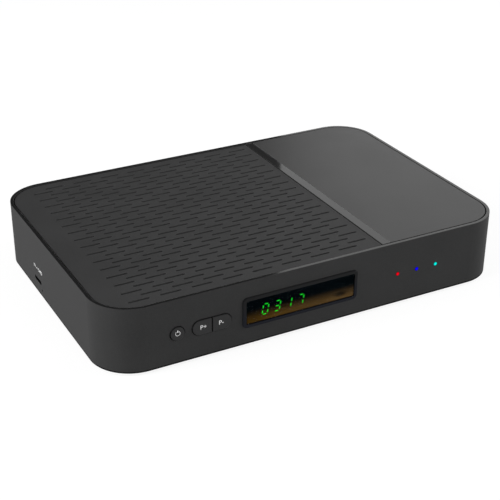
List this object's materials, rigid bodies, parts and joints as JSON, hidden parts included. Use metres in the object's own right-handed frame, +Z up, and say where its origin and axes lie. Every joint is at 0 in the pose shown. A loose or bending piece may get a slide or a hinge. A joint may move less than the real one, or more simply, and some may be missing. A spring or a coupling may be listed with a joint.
{
  "type": "satellite tv receiver",
  "caption": "Low set-top satellite receiver: slotted and smooth top panels, framed smoked display, push buttons, indicator lights, side card slot and rear sockets.",
  "frame": {"origin": "middle of the whole footprint, rear connectors included, on the plane that the feet stand on", "axes": "+X to the right along the front as seen by someone facing it, +Y from the front to the rear connectors, +Z up"},
  "size_m": [0.22, 0.16, 0.035],
  "materials": {
    "case_plastic": "fine moulded texture, satin rim",
    "vent_plastic": "fine moulded texture",
    "divider_plastic": "smooth",
    "panel_plastic": "fine brushed-looking texture",
    "cover_plastic": "moulded texture",
    "rear_plastic": "moulded texture",
    "button_plastic": "satin with printed symbols",
    "bezel_plastic": "polished",
    "smoked_window": "smoked acrylic",
    "display_black": "dark filter with lit segments",
    "foot_rubber": "matt",
    "screw_steel": "zinc plated",
    "board_laminate": "solder mask",
    "tin_plate": "tin plated",
    "nickel_plate": "nickel plated",
    "white_plastic": "moulded",
    "black_plastic": "moulded",
    "contact_gold": "gold flashed",
    "card_steel": "stamped",
    "ribbon_film": "film over flat conductors",
    "chip_black": "moulded epoxy",
    "sink_aluminium": "extruded",
    "capacitor_sleeve": "shrink sleeve",
    "pipe_clear": "clear acrylic",
    "red_lens": "lit",
    "blue_lens": "lit",
    "cyan_lens": "lit"
  },
  "bodies": {
    "case": {"av_socket": "black_plastic", "blue_led": "blue_lens", "blue_light_pipe": "pipe_clear", "bottom_cover": "cover_plastic", "capacitors": "capacitor_sleeve", "card_socket": "card_steel", "case_screws": "screw_steel", "connector_insulators": "white_plastic", "connector_nuts": "nickel_plate", "cyan_led": "cyan_lens", "cyan_light_pipe": "pipe_clear", "display_bezel": "bezel_plastic", "display_module": "display_black", "display_window": "smoked_window", "divider_strip": "divider_plastic", "front_board": "board_laminate", "front_board_screws": "screw_steel", "front_left_foot": "foot_rubber", "front_ribbon_socket": "white_plastic", "front_right_foot": "foot_rubber", "heat_sink": "sink_aluminium", "inductors": "chip_black", "infrared_receiver": "display_black", "lnb_in_connector": "nickel_plate", "lnb_out_connector": "nickel_plate", "main_board": "board_laminate", "main_board_screws": "screw_steel", "main_processor": "chip_black", "main_ribbon_socket": "white_plastic", "memory_chips": "chip_black", "network_contacts": "contact_gold", "network_socket": "black_plastic", "optical_socket": "black_plastic", "power_inlet": "black_plastic", "power_inlet_pin": "contact_gold", "power_switch": "black_plastic", "program_down_switch": "black_plastic", "program_up_switch": "black_plastic", "rear_left_foot": "foot_rubber", "rear_panel": "rear_plastic", "rear_panel_screws": "screw_steel", "rear_right_foot": "foot_rubber", "red_led": "red_lens", "red_light_pipe": "pipe_clear", "reset_switch": "black_plastic", "ribbon_cable": "ribbon_film", "smooth_panel": "panel_plastic", "tuner_can": "tin_plate", "upper_shell": "case_plastic", "usb_socket": "tin_plate", "vent_panel": "vent_plastic", "video_socket": "tin_plate"},
    "power_button": {"power_button": "button_plastic", "power_plunger": "black_plastic"},
    "program_up_button": {"program_up_button": "button_plastic", "program_up_plunger": "black_plastic"},
    "program_down_button": {"program_down_button": "button_plastic", "program_down_plunger": "black_plastic"},
    "reset_plunger": {"reset_plunger": "black_plastic"},
    "optical_shutter": {"optical_shutter": "black_plastic"}
  },
  "joints": [
    {"name": "power_button_press", "type": "slide", "parent": "case", "child": "power_button", "axis": [0, 1, 0], "range_m": [0, 0.0003], "stiffness_N_per_m": 1200, "springref_m": -0.0004},
    {"name": "program_up_press", "type": "slide", "parent": "case", "child": "program_up_button", "axis": [0, 1, 0], "range_m": [0, 0.0003], "stiffness_N_per_m": 1200, "springref_m": -0.0004},
    {"name": "program_down_press", "type": "slide", "parent": "case", "child": "program_down_button", "axis": [0, 1, 0], "range_m": [0, 0.0003], "stiffness_N_per_m": 1200, "springref_m": -0.0004},
    {"name": "reset_press", "type": "slide", "parent": "case", "child": "reset_plunger", "axis": [1, 0, 0], "range_m": [0, 0.00025], "stiffness_N_per_m": 1000, "springref_m": -0.0004},
    {"name": "optical_shutter_swing", "type": "hinge", "parent": "case", "child": "optical_shutter", "pos_m": [-0.0431, 0.06695, 0.01615], "axis": [-1, 0, 0], "range_deg": [0, 80], "stiffness_Nm_per_rad": 0.0002, "springref_deg": -28.65}
  ]
}
